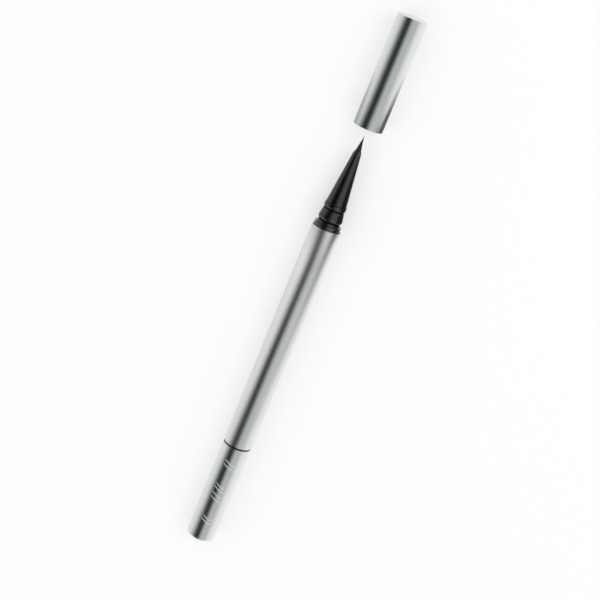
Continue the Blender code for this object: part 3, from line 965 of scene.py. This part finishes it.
def studio_world():
    """White to look at, and dimmer where it lights."""
    world = bpy.data.worlds.new("studio")
    bpy.context.scene.world = world
    world.use_nodes = True
    tree = world.node_tree
    background = tree.nodes["Background"]
    background.inputs["Color"].default_value = (1, 1, 1, 1)
    level = spread(tree, light_path_share(tree), WORLD_LEVEL, 1.0, start=0, end=1)
    tree.links.new(level, background.inputs["Strength"])


def studio_floor():
    """A matt floor. Its glow is seen, also in reflections, and lights nothing."""
    made = bmesh.new()
    bmesh.ops.create_grid(made, x_segments=1, y_segments=1, size=FLOOR_SIZE / 2)
    floor = plain_object("floor", made)
    floor.location = (0, 0, -PEN_RADIUS * MM - FLOOR_GAP)
    material, tree, shader, place = new_material("floor")
    shader.inputs["Base Color"].default_value = (*FLOOR_COLOUR, 1)
    shader.inputs["Roughness"].default_value = FLOOR_ROUGHNESS
    shader.inputs["Specular IOR Level"].default_value = 0
    shader.inputs["Emission Color"].default_value = (1, 1, 1, 1)
    lift = spread(tree, vector_length(tree, place), FLOOR_LIFT, FLOOR_FAR_LIFT,
                  start=FLOOR_NEAR, end=FLOOR_FAR)
    shown = maths(tree, "MULTIPLY", light_path_share(tree), lift)
    tree.links.new(shown, shader.inputs["Emission Strength"])
    floor.data.materials.append(material)


def studio_tent():
    """A tunnel of soft light and dark over the pen, seen only in reflections. It is
    half round, and its feet run in along the floor to the pen."""
    ground = -PEN_RADIUS * MM + TENT_LIFT
    profile = [(TENT_FOOT, ground), (TENT_RADIUS, ground)]
    for side in range(TENT_SIDES + 1):
        angle = math.pi * (side / TENT_SIDES - 0.5)
        profile.append((-TENT_RADIUS * math.sin(angle), TENT_RADIUS * math.cos(angle)))
    profile += [(-TENT_RADIUS, ground), (-TENT_FOOT, ground)]
    middle = (cad_low.x + cad_high.x) / 2
    made = bmesh.new()
    rings = []
    for x in (middle - TENT_LENGTH / 2, middle + TENT_LENGTH / 2):
        rings.append([made.verts.new((x, y, z)) for y, z in profile])
    for side in range(len(profile) - 1):
        made.faces.new((rings[0][side], rings[0][side + 1], rings[1][side + 1], rings[1][side]))
    tent = plain_object("tent", made)
    tent.data.materials.append(tent_light())
    tent.visible_camera = False
    tent.visible_diffuse = False
    tent.visible_transmission = False
    tent.visible_shadow = False


def light_ramp(tree, share, levels, top_gain):
    """The light at each share of the way round. Its dark parts are a little green."""
    ramp = tree.nodes.new("ShaderNodeValToRGB")
    stops = ramp.color_ramp.elements
    stops[0].position = 0
    stops[1].position = 1
    for degrees, _ in levels[1:-1]:
        stops.new(math.radians(degrees) / TENT_TURN / 2 + 0.5)
    for stop, (degrees, level) in zip(stops, levels):
        if abs(degrees) < TENT_TOP:
            level *= top_gain
        dim = max(0, 1 - level) ** 2
        red = level * (1 - DIM_LESS_RED * dim)
        blue = level * (1 - DIM_LESS_BLUE * dim)
        stop.color = (red, level, blue, 1)
    tree.links.new(share, ramp.inputs["Fac"])
    return ramp.outputs["Color"]


def tent_light():
    """Light that changes with the angle round the pen and the place along it."""
    material, tree, shader, place = new_material("tent_light")
    split = tree.nodes.new("ShaderNodeSeparateXYZ")
    tree.links.new(place, split.inputs["Vector"])
    rightward = maths(tree, "MULTIPLY", split.outputs["Y"], -1)
    angle = maths(tree, "ARCTAN2", rightward, split.outputs["Z"])
    share = spread(tree, angle, 0, 1, start=-TENT_TURN, end=TENT_TURN)
    reach = vector_length(tree, stretched(tree, place, (0, 1, 1)))
    along = maths(tree, "MULTIPLY_ADD", reach, TENT_LAG, split.outputs["X"])
    light = light_ramp(tree, share, *TENT_PLACES[0][1:])
    for (back, _, _), (front, levels, gain) in zip(TENT_PLACES, TENT_PLACES[1:]):
        step = tree.nodes.new("ShaderNodeMix")
        step.data_type = "RGBA"
        passed = spread(tree, along, 0, 1, start=back, end=front)
        tree.links.new(passed, step.inputs["Factor"])
        tree.links.new(light, step.inputs["A"])
        tree.links.new(light_ramp(tree, share, levels, gain), step.inputs["B"])
        light = step.outputs["Result"]
    shader.inputs["Base Color"].default_value = (0, 0, 0, 1)
    shader.inputs["Specular IOR Level"].default_value = 0
    shader.inputs["Emission Strength"].default_value = 1
    tree.links.new(light, shader.inputs["Emission Color"])
    return material


def soft_lamp(name, power, size, place, target):
    """A wide round lamp that faces the target and shows in no reflection."""
    lamp = bpy.data.lights.new(name, "AREA")
    lamp.shape = "DISK"
    lamp.size = size
    lamp.energy = power
    item = bpy.data.objects.new(name, lamp)
    bpy.context.scene.collection.objects.link(item)
    item.location = place
    away = Vector(place) - target
    item.rotation_mode = "QUATERNION"
    item.rotation_quaternion = away.to_track_quat("Z", "Y")
    item.visible_glossy = False


def photo_camera():
    """The camera that the photograph was fitted with, aimed a little higher."""
    pen = Vector((math.sin(PEN_LEAN) * math.cos(PEN_TILT),
                  math.cos(PEN_LEAN) * math.cos(PEN_TILT), math.sin(PEN_TILT)))
    toward = Vector((0, 0, 1))
    upward = (toward - pen * pen.dot(toward)).normalized()
    sideways = upward.cross(pen)
    to_world = Matrix((pen, sideways, upward))
    rim = Vector((barrel_front, 0, 0))
    data = bpy.data.cameras.new("photo_camera")
    data.sensor_width = SENSOR_WIDTH
    data.lens = FOCAL_PIXELS * SENSOR_WIDTH / PHOTO_WIDTH
    data.clip_start = CLIP_START
    data.clip_end = CLIP_END
    camera = bpy.data.objects.new("photo_camera", data)
    bpy.context.scene.collection.objects.link(camera)
    place = rim - to_world @ Vector((RIM_RIGHT, RIM_UP, -RIM_DEPTH))
    turn = to_world @ Matrix.Rotation(AIM_UP, 3, "X")
    camera.matrix_world = Matrix.Translation(place) @ turn.to_4x4()
    bpy.context.scene.camera = camera


def studio():
    middle = (cad_low + cad_high) / 2
    studio_world()
    studio_floor()
    studio_tent()
    soft_lamp("key", KEY_POWER, KEY_SIZE, KEY_PLACE, middle)
    soft_lamp("fill", FILL_POWER, FILL_SIZE, FILL_PLACE, middle)
    photo_camera()
    bpy.context.scene.view_settings.view_transform = "Standard"


barrel_outer()
nose_moulding()
nib_point()
nib_cap()
pencil_cap()
ticks()
pencil_bush()
pencil_nose()
brow_lead()
inner_nodes()
studio()
